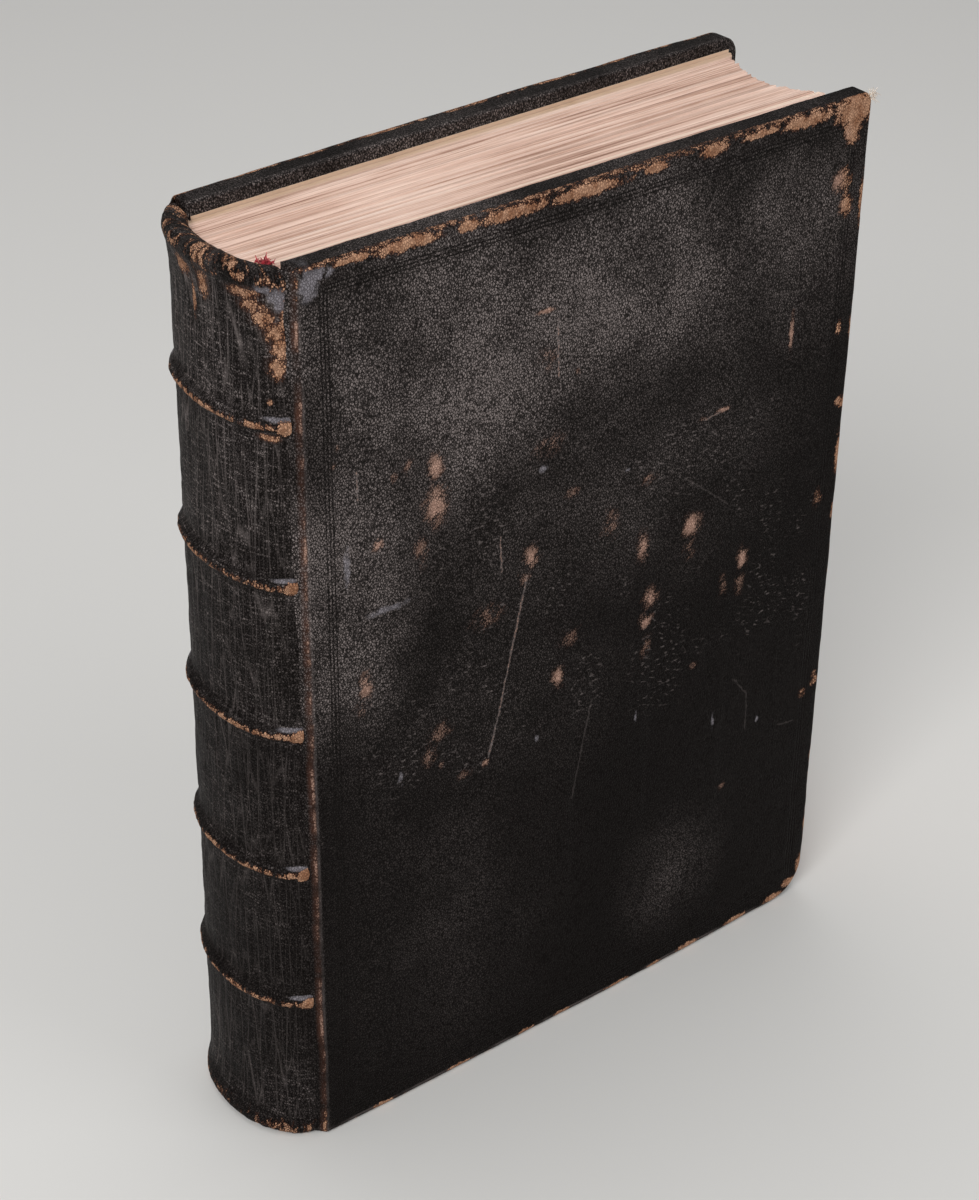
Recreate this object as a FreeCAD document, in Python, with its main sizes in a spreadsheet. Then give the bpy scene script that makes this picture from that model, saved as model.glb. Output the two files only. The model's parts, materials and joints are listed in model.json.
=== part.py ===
import FreeCAD, Part
import os

import Sketcher

# Antique leather book, standing on its tail edges. Millimetres, +Z up.
# X runs from the spine (-X) to the fore-edge (+X), and the front cover faces -Y.
# In the notes below the joint line is where the covers hinge, x = 0 before centring.

os.makedirs("parts", exist_ok=True)
doc = FreeCAD.newDocument("antique_leather_book")

# Driving dimensions

DRIVING = [
    ("board_height", 305, "head edge to tail edge of a cover, over the leather"),
    ("board_width", 208, "joint line to fore-edge of a cover, over the leather"),
    ("board_thickness", 6.1, "pasteboard alone"),
    ("board_bow", 1.2, "rise of a cover's outer face at mid width"),
    ("leather_thickness", 1.0, "goatskin"),
    ("turn_in_width", 15, "leather folded onto a board's inner face"),
    ("pastedown_thickness", 0.3, "paper glued inside a cover"),
    ("pastedown_margin", 4, "leather left showing round the pastedown"),
    ("joint_clearance", 0.3, "gap at the joint line, each side"),
    ("cover_clearance", 0.3, "gap between a pastedown and the leaves"),
    ("sharp_corner", 2.5, "radius of the front cover's head corner"),
    ("bumped_corner", 6, "radius of the back cover's head corner"),
    ("worn_corner", 14, "radius of a tail corner, worn round"),
    ("outer_edge_rounding", 2.0, "leather rolled over a cover's outer arris"),
    ("inner_edge_rounding", 0.8, "leather rolled over a cover's inner arris"),
    ("back_cover_splay", 2.07, "degrees that the back cover stands open from parallel"),
    ("text_thickness", 44, "block of leaves at the joint line"),
    ("head_square", 5, "cover standing past the leaves at the head"),
    ("tail_square", 5, "cover standing past the leaves at the tail"),
    ("front_fore_square", 2, "front cover standing past the leaves at the fore-edge"),
    ("back_fore_square", 3.5, "back cover standing past the leaves at the fore-edge"),
    ("fore_edge_hollow", 11.6, "depth from a cover's fore-edge to the bottom of the hollow"),
    ("leaf_step", 1.4, "offset towards the front of the step between the two groups of leaves"),
    ("front_leaves_swell", 1.2, "rise of the front leaves' fore-edge"),
    ("back_leaves_dip", 3.3, "dip of the back leaves' fore-edge"),
    ("spine_round_tail", 15.2, "leaves standing past the joint line at the tail"),
    ("spine_round_head", 10.2, "leaves standing past the joint line at the head"),
    ("shoulder_half_width", 27.3, "middle of the block to the edge of a backed shoulder"),
    ("cord_count", 5, "sewing cords, each under a raised band"),
    ("lowest_cord_height", 56, "tail to the middle of the lowest cord"),
    ("cord_pitch", 50.75, "cord to cord"),
    ("cord_width", 5.0, "along the spine"),
    ("cord_rise", 2.8, "cord standing out from the leaves"),
    ("cord_rise_at_joint", 0.8, "the same where the cord is flattened into the joint"),
    ("cord_flat", 2.0, "flat along a cord's crest"),
    ("cap_height", 20, "reach of a cap's flare from its end of the spine"),
    ("cap_waist", 9, "end of the spine to the waist below a cap's roll"),
    ("cap_waist_reach", 1.2, "leather standing out from the panels at that waist"),
    ("cap_crown", 3, "end of the spine to the fullest part of a cap"),
    ("cap_reach", 3.4, "cap standing out from the spine's panels"),
    ("cap_reach_at_joint", 0.6, "the same beside the joint"),
    ("cap_drawback", 1.6, "fullest part of a cap to its end rim"),
    ("cap_lip_round", 6.5, "joint line to the cap's inner lip at mid thickness"),
    ("cap_lip_half_width", 19.5, "middle to the cap's inner lip at the joint line"),
    ("endband_width", 3, "silk endband, across"),
    ("endband_height", 3.5, "silk endband, standing on the leaves"),
    ("endband_clearance", 0.2, "gap between an endband and the cap's lip"),
    ("endband_remnant", 5.6, "length of the scrap of head endband that is left"),
    ("endband_remnant_reach", 2.2, "the scrap standing past the joint line"),
    ("root_overlap", 0.6, "how far a band's or a cap's foot starts inside the panel"),
]

sheet = doc.addObject("Spreadsheet::Sheet", "sizes")
for row, (alias, size, meaning) in enumerate(DRIVING, start=1):
    sheet.set(f"A{row}", meaning)
    sheet.set(f"B{row}", str(size))
    sheet.setAlias(f"B{row}", alias)
doc.recompute()


def value(expression):
    """Number that an expression on the sheet gives now."""
    return float(sheet.evalExpression(expression))


# Distances worked out from the driving ones

COVER = (
    "(2 * sizes.leather_thickness + sizes.board_thickness + sizes.pastedown_thickness)"
)
HALF_TEXT = "(sizes.text_thickness / 2)"
HALF_BOOK = f"({HALF_TEXT} + sizes.cover_clearance + {COVER})"
SPLAY_SLOPE = "tan(sizes.back_cover_splay)"
BACK_SWING = f"(sizes.board_width * {SPLAY_SLOPE})"
TEXT_TAIL = "sizes.tail_square"
TEXT_HEAD = "(sizes.board_height - sizes.head_square)"
SPINE_REACH = "(sizes.spine_round_tail + sizes.leather_thickness + sizes.cap_reach)"
SHIFT_X = f"(({SPINE_REACH} - sizes.board_width) / 2)"
SHIFT_Y = f"((sizes.board_bow - {BACK_SWING}) / 2)"
ALL_ROUND = "(sizes.board_height + sizes.board_width)"


def text_round(height):
    """How far the leaves stand past the joint line at a height."""
    taper = "(sizes.spine_round_head - sizes.spine_round_tail)"
    return f"(sizes.spine_round_tail + {taper} * {height} / sizes.board_height)"


def panel_round(height):
    return f"({text_round(height)} + sizes.leather_thickness)"


PANEL_HALF_WIDTH = "(sizes.shoulder_half_width + sizes.leather_thickness)"


# Helpers


def bind(thing, **expressions):
    for name, expression in expressions.items():
        thing.setExpression(name.replace("__", "."), expression)
    return thing


def place(thing, x=SHIFT_X, y=SHIFT_Y, z="0", turn="0"):
    """Puts a sub-part in the row's frame, with turn in degrees about Z."""
    return bind(
        thing,
        Placement__Base__x=x,
        Placement__Base__y=y,
        Placement__Base__z=z,
        Placement__Rotation__Angle=turn,
    )


def origin_plane(body, role):
    return next(f for f in body.Origin.OriginFeatures if f.Role == role)


def outline_sketch(body, name, role, corners, rises=()):
    """Closed outline through corners, each (x, y) as expressions.

    rises gives, for a side's number, how far an arc rises out of the outline there.
    """
    rises = dict(rises)
    sketch = body.newObject("Sketcher::SketchObject", name)
    sketch.AttachmentSupport = [(origin_plane(body, role), "")]
    sketch.MapMode = "FlatFace"
    points = [FreeCAD.Vector(value(x), value(y), 0) for x, y in corners]
    area = sum(a.x * b.y - b.x * a.y for a, b in zip(points, points[1:] + points[:1]))
    outward = 1 if area < 0 else -1
    ends = []
    for side, start in enumerate(points):
        end = points[(side + 1) % len(points)]
        if side not in rises:
            sketch.addGeometry(Part.LineSegment(start, end))
            ends.append((1, 2))
            continue
        along = end - start
        left = FreeCAD.Vector(-along.y, along.x, 0).normalize()
        bulge = outward * value(rises[side])
        middle = (start + end) / 2 + left * bulge
        anticlockwise = bulge < 0
        first, last = (start, end) if anticlockwise else (end, start)
        sketch.addGeometry(Part.Arc(first, middle, last))
        ends.append((1, 2) if anticlockwise else (2, 1))
    for side, (x, y) in enumerate(corners):
        after = (side + 1) % len(points)
        sketch.addConstraint(
            Sketcher.Constraint("Coincident", side, ends[side][1], after, ends[after][0])
        )
        for kind, distance in (("DistanceX", x), ("DistanceY", y)):
            number = sketch.addConstraint(
                Sketcher.Constraint(kind, -1, 1, side, ends[side][0], value(distance))
            )
            sketch.setExpression(f"Constraints[{number}]", distance)
    for side, rise in rises.items():
        (ax, ay), (bx, by) = corners[side], corners[(side + 1) % len(corners)]
        half_chord_squared = f"((({bx}) - ({ax}))^2 + (({by}) - ({ay}))^2) / 4"
        radius = f"({half_chord_squared} + ({rise})^2) / (2 * abs({rise}))"
        number = sketch.addConstraint(
            Sketcher.Constraint("Radius", side, value(radius))
        )
        sketch.setExpression(f"Constraints[{number}]", radius)
    return sketch


def pad(body, name, sketch, length):
    feature = body.newObject("PartDesign::Pad", name)
    feature.Profile = sketch
    return bind(feature, Length=length)


def round_edges(body, name, feature, chosen, radius):
    """Fillet on the edges of a feature for which chosen(edge) is true."""
    doc.recompute()
    edges = feature.Shape.Edges
    names = [f"Edge{i + 1}" for i, edge in enumerate(edges) if chosen(edge)]
    fillet = body.newObject("PartDesign::Fillet", name)
    fillet.Base = (feature, names)
    return bind(fillet, Radius=radius)


def near(number, expression):
    return abs(number - value(expression)) < 1e-3


def box(name, lows, highs):
    """Box between two corners given as expressions before centring."""
    block = doc.addObject("Part::Box", name)
    bind(
        block,
        Length=f"({highs[0]}) - ({lows[0]})",
        Width=f"({highs[1]}) - ({lows[1]})",
        Height=f"({highs[2]}) - ({lows[2]})",
    )
    return place(block, f"{SHIFT_X} + {lows[0]}", f"{SHIFT_Y} + {lows[1]}", lows[2])


def spine_form(name, sections, straight):
    """Solid through half-round plan sections, each (height, round, half width)."""
    rings = []
    for number, (height, rounding, half_width) in enumerate(sections, start=1):
        ring = doc.addObject("Part::Ellipse", f"{name}_ring_{number}")
        ring.Placement.Rotation = FreeCAD.Rotation(FreeCAD.Vector(0, 0, 1), 90)
        bind(ring, MajorRadius=half_width, MinorRadius=rounding)
        rings.append(place(ring, z=height, turn="90"))
    form = doc.addObject("Part::Loft", name)
    form.Sections = rings
    form.Solid = True
    form.Ruled = straight
    return form


def fuse(name, pieces):
    union = doc.addObject("Part::MultiFuse", name)
    union.Shapes = pieces
    union.Refine = True
    return union


def cut(name, base, tool):
    difference = doc.addObject("Part::Cut", name)
    difference.Base = base
    difference.Tool = tool
    difference.Refine = True
    return difference


def common(name, pieces):
    shared = doc.addObject("Part::MultiCommon", name)
    shared.Shapes = pieces
    return shared


def copy_of(name, source):
    """Second use of a shape, because a boolean claims the object that it cuts."""
    link = doc.addObject("Part::Compound", name)
    link.Links = [source]
    return link


# Covers
# A cover is drawn with its hinge line at the origin, and inward is +1 or -1 along Y.


def cover_slab(label, inward, head_corner, outside, inside, margin, with_rounding):
    """Bowed slab of a cover between two depths below the outer face."""
    body = doc.addObject("PartDesign::Body", label)
    fore = f"(sizes.board_width - {margin})"
    hinge_side = "sizes.joint_clearance"
    sketch = outline_sketch(
        body,
        f"{label}_plan",
        "XY_Plane",
        [
            (hinge_side, f"{inward} * {outside}"),
            (fore, f"{inward} * {outside}"),
            (fore, f"{inward} * {inside}"),
            (hinge_side, f"{inward} * {inside}"),
        ],
        {0: "sizes.board_bow"},
    )
    if margin != "0":
        bind(sketch, AttachmentOffset__Base__z=margin)
    slab = pad(body, f"{label}_pad", sketch, f"sizes.board_height - 2 * {margin}")

    def upright_corner(edge, high):
        middle = edge.BoundBox.Center
        across = edge.BoundBox.YLength > value("sizes.board_thickness") / 2
        return across and near(middle.x, fore) and (middle.z > value(ALL_ROUND) / 4) == high

    for high, radius in ((True, head_corner), (False, "sizes.worn_corner")):
        slab = round_edges(
            body,
            f"{label}_{'head' if high else 'tail'}_corner",
            slab,
            lambda edge, high=high: upright_corner(edge, high),
            f"{radius} - {margin}",
        )
    if with_rounding:
        slab = round_arrises(body, label, slab, inward, inside)
    return body


def round_arrises(body, label, slab, inward, inside):
    """Leather rolled over the head, tail and fore-edge on both faces of a cover."""

    def along_face(edge, inner):
        size = edge.BoundBox
        deep = value(f"{inward} * {inside}")
        at_inner = abs(size.YMin - deep) < 1e-3 and abs(size.YMax - deep) < 1e-3
        across = abs(size.YMin - deep) < 1e-3 or abs(size.YMax - deep) < 1e-3
        beside_hinge = near(size.XMin, "sizes.joint_clearance") and size.XLength < 1e-3
        if beside_hinge:
            return False
        return at_inner if inner else not across

    for inner, radius in (
        (False, "sizes.outer_edge_rounding"),
        (True, "sizes.inner_edge_rounding"),
    ):
        slab = round_edges(
            body,
            f"{label}_{'inner' if inner else 'outer'}_arris",
            slab,
            lambda edge, inner=inner: along_face(edge, inner),
            radius,
        )
    return slab


def cover(side, inward, head_corner):
    """Board, leather and pastedown of one cover, hinged at the joint line."""
    where = dict(
        y=f"{SHIFT_Y} - {inward} * {HALF_BOOK}",
        turn="sizes.back_cover_splay" if inward < 0 else "0",
    )
    leather = "sizes.leather_thickness"
    board_inside = f"({leather} + sizes.board_thickness)"
    leather_inside = f"({board_inside} + {leather})"

    board = cover_slab(
        f"{side}_board", inward, head_corner, leather, board_inside, leather, False
    )
    wrapper = cover_slab(
        f"{side}_wrapper", inward, head_corner, "0", leather_inside, "0", True
    )
    window_body = doc.addObject("PartDesign::Body", f"{side}_window")
    window_edge = "(sizes.board_width - sizes.turn_in_width)"
    window_plan = outline_sketch(
        window_body,
        f"{side}_window_plan",
        "XY_Plane",
        [
            ("-sizes.turn_in_width", f"{inward} * {board_inside}"),
            (window_edge, f"{inward} * {board_inside}"),
            (window_edge, f"{inward} * ({leather_inside} + {leather})"),
            ("-sizes.turn_in_width", f"{inward} * ({leather_inside} + {leather})"),
        ],
    )
    bind(window_plan, AttachmentOffset__Base__z="sizes.turn_in_width")
    pad(
        window_body,
        f"{side}_window_pad",
        window_plan,
        "sizes.board_height - 2 * sizes.turn_in_width",
    )
    for body in (board, wrapper, window_body):
        place(body, **where)
    hide = cut(f"{side}_hide", wrapper, copy_of(f"{side}_board_tool", board))
    hide = cut(f"{side}_cover_leather", hide, window_body)

    pastedown = doc.addObject("PartDesign::Body", f"{side}_pastedown")
    steps = [
        ("in_window", "sizes.turn_in_width", board_inside, leather_inside),
        (
            "over_turn_ins",
            "sizes.pastedown_margin",
            leather_inside,
            f"({leather_inside} + sizes.pastedown_thickness)",
        ),
    ]
    for step, margin, shallow, deep in steps:
        fore = f"(sizes.board_width - {margin})"
        plan = outline_sketch(
            pastedown,
            f"{side}_pastedown_{step}_plan",
            "XY_Plane",
            [
                ("sizes.joint_clearance", f"{inward} * {shallow}"),
                (fore, f"{inward} * {shallow}"),
                (fore, f"{inward} * {deep}"),
                ("sizes.joint_clearance", f"{inward} * {deep}"),
            ],
        )
        bind(plan, AttachmentOffset__Base__z=margin)
        pad(
            pastedown,
            f"{side}_pastedown_{step}",
            plan,
            f"sizes.board_height - 2 * {margin}",
        )
    place(pastedown, **where)
    return [board, hide, pastedown]


# Block of leaves


def text_block():
    """Leaves with a hollow fore-edge, and their backed and rounded folds."""
    leaves = doc.addObject("PartDesign::Body", "leaves")
    fore_front = "(sizes.board_width - sizes.front_fore_square)"
    fore_back = "(sizes.board_width - sizes.back_fore_square)"
    plan = outline_sketch(
        leaves,
        "leaves_plan",
        "XY_Plane",
        [
            ("0", f"-{HALF_TEXT}"),
            (fore_front, f"-{HALF_TEXT}"),
            ("sizes.board_width - sizes.fore_edge_hollow", "-sizes.leaf_step"),
            (fore_back, f"{HALF_TEXT} + {fore_back} * {SPLAY_SLOPE}"),
            ("0", f"{HALF_TEXT}"),
        ],
        {1: "sizes.front_leaves_swell", 2: "-sizes.back_leaves_dip"},
    )
    bind(plan, AttachmentOffset__Base__z=TEXT_TAIL)
    pad(leaves, "leaves_pad", plan, f"{TEXT_HEAD} - {TEXT_TAIL}")
    place(leaves)
    folds = spine_form(
        "folds_form",
        [
            ("0", text_round("0"), "sizes.shoulder_half_width"),
            (
                "sizes.board_height",
                text_round("sizes.board_height"),
                "sizes.shoulder_half_width",
            ),
        ],
        straight=True,
    )
    behind_joint = box(
        "behind_joint",
        (f"-{ALL_ROUND}", f"-{ALL_ROUND}", TEXT_TAIL),
        ("0", ALL_ROUND, TEXT_HEAD),
    )
    return fuse("text_block", [leaves, common("folds", [folds, behind_joint])])


# Spine


def cord_height(number):
    return f"(sizes.lowest_cord_height + {number - 1} * sizes.cord_pitch)"


def ridge_sizes(number, over):
    """Round and half width of a ridge's foot and crest, over that much leather."""
    leaves_round = text_round(cord_height(number))
    half_width = f"(sizes.shoulder_half_width + {over})"
    foot = (
        f"({leaves_round} + {over} - sizes.root_overlap)",
        f"({half_width} - sizes.root_overlap)",
    )
    crest = (
        f"({leaves_round} + {over} + sizes.cord_rise)",
        f"({half_width} + sizes.cord_rise_at_joint)",
    )
    return foot, crest


def band(number):
    """Raised band, the leather's rounded ridge over one cord."""
    middle = cord_height(number)
    foot, crest = ridge_sizes(number, "sizes.leather_thickness")
    half_length = "(sizes.cord_width / 2 + sizes.leather_thickness)"
    sections = [
        (f"{middle} - {half_length}", *foot),
        (middle, *crest),
        (f"{middle} + {half_length}", *foot),
    ]
    return spine_form(f"band_{number}_form", sections, straight=False)


def cord_form(name, number):
    """Cord pressed flat on the leaves, with its foot still inside them."""
    middle = cord_height(number)
    foot, crest = ridge_sizes(number, "0")
    sections = [
        (f"{middle} - sizes.cord_width / 2", *foot),
        (f"{middle} - sizes.cord_flat / 2", *crest),
        (f"{middle} + sizes.cord_flat / 2", *crest),
        (f"{middle} + sizes.cord_width / 2", *foot),
    ]
    return spine_form(name, sections, straight=True)


def cap(name, end, inward):
    """Turned leather at one end of the spine; inward is +1 or -1 along Z."""
    crown = f"({end} + {inward} * sizes.cap_crown)"
    waist = f"({end} + {inward} * sizes.cap_waist)"
    foot = f"({end} + {inward} * sizes.cap_height)"
    full = f"({panel_round(crown)} + sizes.cap_reach)"
    sections = [
        (end, f"({full} - sizes.cap_drawback)", PANEL_HALF_WIDTH),
        (crown, full, f"({PANEL_HALF_WIDTH} + sizes.cap_reach_at_joint)"),
        (waist, f"({panel_round(waist)} + sizes.cap_waist_reach)", PANEL_HALF_WIDTH),
        (
            foot,
            f"({panel_round(foot)} - sizes.root_overlap)",
            f"({PANEL_HALF_WIDTH} - sizes.root_overlap)",
        ),
    ]
    return spine_form(name, sections[::inward], straight=False)


def lip_form(name, low, high, inset):
    """Upright form inside a cap's lip, drawn in by inset."""
    rounding = f"(sizes.cap_lip_round - {inset})"
    half_width = f"(sizes.cap_lip_half_width - {inset})"
    return spine_form(
        name, [(low, rounding, half_width), (high, rounding, half_width)], straight=True
    )


def spine(leaves):
    """Spine leather with its bands and caps, and the cords under the bands."""
    panels = spine_form(
        "panels_form",
        [
            ("0", panel_round("0"), PANEL_HALF_WIDTH),
            ("sizes.board_height", panel_round("sizes.board_height"), PANEL_HALF_WIDTH),
        ],
        straight=True,
    )
    numbers = range(1, round(value("sizes.cord_count")) + 1)
    bands = [band(number) for number in numbers]
    caps = [
        cap("tail_cap_form", "0", 1),
        cap("head_cap_form", "sizes.board_height", -1),
    ]
    behind_clearance = box(
        "behind_clearance",
        (f"-{ALL_ROUND}", f"-{ALL_ROUND}", "0"),
        ("-sizes.joint_clearance", ALL_ROUND, "sizes.board_height"),
    )
    forms = fuse("spine_forms", [panels] + bands + caps)
    outside = common("spine_outside", [forms, behind_clearance])
    cords = []
    for number in numbers:
        form = cord_form(f"cord_{number}_form", number)
        limit = copy_of(f"cord_{number}_limit", behind_clearance)
        seat = copy_of(f"cord_{number}_seat", leaves)
        half = common(f"cord_{number}_half", [form, limit])
        cords.append(cut(f"sewing_cord_{number}", half, seat))
    hollows = fuse(
        "spine_hollows",
        [
            copy_of("leaves_tool", leaves),
            lip_form("tail_lip_form", "0", TEXT_TAIL, "0"),
            lip_form("head_lip_form", TEXT_HEAD, "sizes.board_height", "0"),
        ]
        + [cord_form(f"cord_{number}_hollow", number) for number in numbers],
    )
    return [cut("spine_leather", outside, hollows)] + cords


def endband(name, low, high, span_low, span_high):
    """Silk endband inside a cap's lip, kept between two corners in plan."""
    outer = lip_form(f"{name}_outer", low, high, "sizes.endband_clearance")
    inner = lip_form(
        f"{name}_inner", low, high, "(sizes.endband_clearance + sizes.endband_width)"
    )
    span = box(f"{name}_span", (*span_low, low), (*span_high, high))
    return common(name, [cut(f"{name}_ring", outer, inner), span])


def endbands():
    tail = endband(
        "tail_endband",
        f"({TEXT_TAIL} - sizes.endband_height)",
        TEXT_TAIL,
        (f"-{ALL_ROUND}", f"-{ALL_ROUND}"),
        ("-sizes.joint_clearance", ALL_ROUND),
    )
    end = "(-sizes.cap_lip_half_width)"
    head = endband(
        "head_endband",
        TEXT_HEAD,
        f"({TEXT_HEAD} + sizes.endband_height)",
        (f"-{ALL_ROUND}", end),
        ("sizes.endband_remnant_reach", f"({end} + sizes.endband_remnant)"),
    )
    return [head, tail]


# Whole book

leaves = text_block()
nodes = [leaves]
nodes += cover("front", 1, "sizes.sharp_corner")
nodes += cover("back", -1, "sizes.bumped_corner")
nodes += spine(leaves)
nodes += endbands()
doc.recompute()

for thing in doc.Objects:
    if {"Invalid", "Error"} & set(thing.State):
        raise RuntimeError(f"{thing.Label} is {thing.State}")
for node in nodes:
    shape = node.Shape
    if shape.isNull() or not shape.isValid() or not shape.Solids:
        raise RuntimeError(f"{node.Label} has no valid solid")
for node in nodes:
    node.Shape.exportStep(f"parts/{node.Label}.step")
    print(node.Label, len(node.Shape.Solids), round(node.Shape.Volume / 1000, 2), "cm3")
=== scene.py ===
import json
import math
import random

import bpy
from mathutils import Matrix, Vector


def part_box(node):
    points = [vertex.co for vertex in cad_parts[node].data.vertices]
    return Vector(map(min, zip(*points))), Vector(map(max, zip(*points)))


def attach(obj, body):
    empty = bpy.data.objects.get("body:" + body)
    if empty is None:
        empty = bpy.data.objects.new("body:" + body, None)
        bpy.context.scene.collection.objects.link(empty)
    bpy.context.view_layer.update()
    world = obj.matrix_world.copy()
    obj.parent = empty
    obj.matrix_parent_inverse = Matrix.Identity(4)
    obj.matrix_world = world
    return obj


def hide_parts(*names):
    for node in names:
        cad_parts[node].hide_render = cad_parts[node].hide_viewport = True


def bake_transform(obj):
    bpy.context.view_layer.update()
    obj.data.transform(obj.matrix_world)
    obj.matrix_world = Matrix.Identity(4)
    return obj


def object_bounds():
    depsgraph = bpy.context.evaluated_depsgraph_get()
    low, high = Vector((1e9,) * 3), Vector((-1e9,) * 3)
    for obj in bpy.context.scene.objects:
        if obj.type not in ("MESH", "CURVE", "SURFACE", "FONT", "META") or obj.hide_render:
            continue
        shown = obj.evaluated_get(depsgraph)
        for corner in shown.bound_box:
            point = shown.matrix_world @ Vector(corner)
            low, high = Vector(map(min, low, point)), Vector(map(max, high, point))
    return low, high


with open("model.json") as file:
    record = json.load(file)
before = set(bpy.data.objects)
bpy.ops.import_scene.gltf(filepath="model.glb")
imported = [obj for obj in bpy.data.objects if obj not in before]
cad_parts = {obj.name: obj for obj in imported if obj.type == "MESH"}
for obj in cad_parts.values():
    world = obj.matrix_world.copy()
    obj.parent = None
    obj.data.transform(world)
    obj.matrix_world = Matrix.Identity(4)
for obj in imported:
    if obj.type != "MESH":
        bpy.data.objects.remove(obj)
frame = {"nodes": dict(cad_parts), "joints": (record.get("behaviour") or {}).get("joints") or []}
CAD_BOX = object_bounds()

# Antique leather book, in metres. +X runs from spine to fore-edge, and the front cover faces -Y.

MM = 0.001
HINGES = {joint["child"]: Vector(joint["pos_m"]) for joint in frame["joints"]}
JOINT_X = HINGES["front_cover"].x
FRONT_Y = HINGES["front_cover"].y
BACK_Y = HINGES["back_cover"].y
MIDDLE_Y = (FRONT_Y + BACK_Y) / 2
HEIGHT = CAD_BOX[1].z
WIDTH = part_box("front_cover_leather")[1].x - JOINT_X
LEAVES_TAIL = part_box("text_block")[0].z
LEAVES_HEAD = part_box("text_block")[1].z
CORDS = sorted(name for name in frame["nodes"] if name.startswith("sewing_cord"))
BANDS = [(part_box(cord)[0].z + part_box(cord)[1].z) / 2 for cord in CORDS]
BAND_PITCH = BANDS[1] - BANDS[0]

LEATHER = 1.0 * MM  # thickness of the hide
HALF_TEXT = 22 * MM  # half the thickness of the leaves at the joints
SPLAY = math.tan(math.radians(2.07))  # by how much the leaves thicken towards the fore-edge
REST_PLACE = "rest_place"  # attribute that a cover's pattern reads


# Working in edit mode


def take(piece):
    """Selects a piece alone and makes it the active one."""
    bpy.ops.object.select_all(action="DESELECT")
    piece.select_set(True)
    bpy.context.view_layer.objects.active = piece


def open_up(piece):
    take(piece)
    bpy.ops.object.mode_set(mode="EDIT")
    bpy.ops.mesh.select_mode(type="VERT")
    bpy.ops.mesh.select_all(action="SELECT")


def close_up():
    bpy.ops.object.mode_set(mode="OBJECT")


def choose_corners(piece, wanted):
    """Selects the corners for which wanted(place) is true, and stays in edit mode."""
    close_up()
    mesh = piece.data
    mesh.polygons.foreach_set("select", [False] * len(mesh.polygons))
    mesh.edges.foreach_set("select", [False] * len(mesh.edges))
    mesh.vertices.foreach_set("select", [bool(wanted(corner.co)) for corner in mesh.vertices])
    bpy.ops.object.mode_set(mode="EDIT")
    bpy.ops.mesh.select_mode(type="VERT")


def choose_faces(piece, wanted):
    """Selects the faces for which wanted(centre, normal) is true, and stays in edit mode."""
    bpy.ops.mesh.select_mode(type="FACE")
    close_up()
    mesh = piece.data
    mesh.vertices.foreach_set("select", [False] * len(mesh.vertices))
    mesh.edges.foreach_set("select", [False] * len(mesh.edges))
    chosen = [bool(wanted(face.center, face.normal)) for face in mesh.polygons]
    mesh.polygons.foreach_set("select", chosen)
    for face in mesh.polygons:
        if face.select:
            for corner in face.vertices:
                mesh.vertices[corner].select = True
    bpy.ops.object.mode_set(mode="EDIT")


def bisect_all(place, normal):
    """Cuts all faces of the open piece along a plane and leaves the cut selected."""
    bpy.ops.mesh.select_all(action="SELECT")
    bpy.ops.mesh.bisect(plane_co=place, plane_no=normal)


def slice_along(axis, start, stop, step):
    """Bisects the open piece at even places along an axis, so that it can be dented."""
    normal = [0, 0, 0]
    normal[axis] = 1
    count = round((stop - start) / step)
    for number in range(1, count):
        place = [0, 0, 0]
        place[axis] = start + (stop - start) * number / count
        bisect_all(place, normal)


def apply_modifiers(piece):
    take(piece)
    for modifier in list(piece.modifiers):
        bpy.ops.object.modifier_apply(modifier=modifier.name)


def dent(piece, depth, size, stretch=(1, 1, 1)):
    """Moves a surface in and out by up to depth, in lumps of that size."""
    lumps = bpy.data.textures.new("lumps", "CLOUDS")
    lumps.noise_scale = size
    lumps.noise_depth = 2
    guide = bpy.data.objects.new("guide", None)
    guide.scale = stretch
    bpy.context.scene.collection.objects.link(guide)
    bpy.context.view_layer.update()
    modifier = piece.modifiers.new("dents", "DISPLACE")
    modifier.texture = lumps
    modifier.texture_coords = "OBJECT"
    modifier.texture_coords_object = guide
    modifier.strength = 2 * depth
    apply_modifiers(piece)
    bpy.data.objects.remove(guide)


def smooth(piece, degrees=40):
    take(piece)
    bpy.ops.object.shade_smooth_by_angle(angle=math.radians(degrees))


def copy_of(node, name):
    """A joined-up copy of a solid's mesh, to be worked on as a piece of its own."""
    piece = bpy.data.objects.new(name, frame["nodes"][node].data.copy())
    bpy.context.scene.collection.objects.link(piece)
    piece.data.materials.clear()
    open_up(piece)
    bpy.ops.mesh.remove_doubles(threshold=0.005 * MM)
    bpy.ops.mesh.dissolve_limited(angle_limit=math.radians(0.05))
    close_up()
    return piece


def keep_rest_place(piece):
    """Stores where each corner is at rest, so that marks stay on a cover that opens."""
    places = [value for corner in piece.data.vertices for value in corner.co]
    stored = piece.data.attributes.new(REST_PLACE, "FLOAT_VECTOR", "POINT")
    stored.data.foreach_set("vector", places)


def finish_with(piece, material, slot):
    """Gives a piece its material; a goatskin piece also keeps where each corner is at rest."""
    piece.data.materials.clear()
    piece.data.materials.append(material)
    if slot == "goatskin":
        keep_rest_place(piece)


# Shader maths


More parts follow.
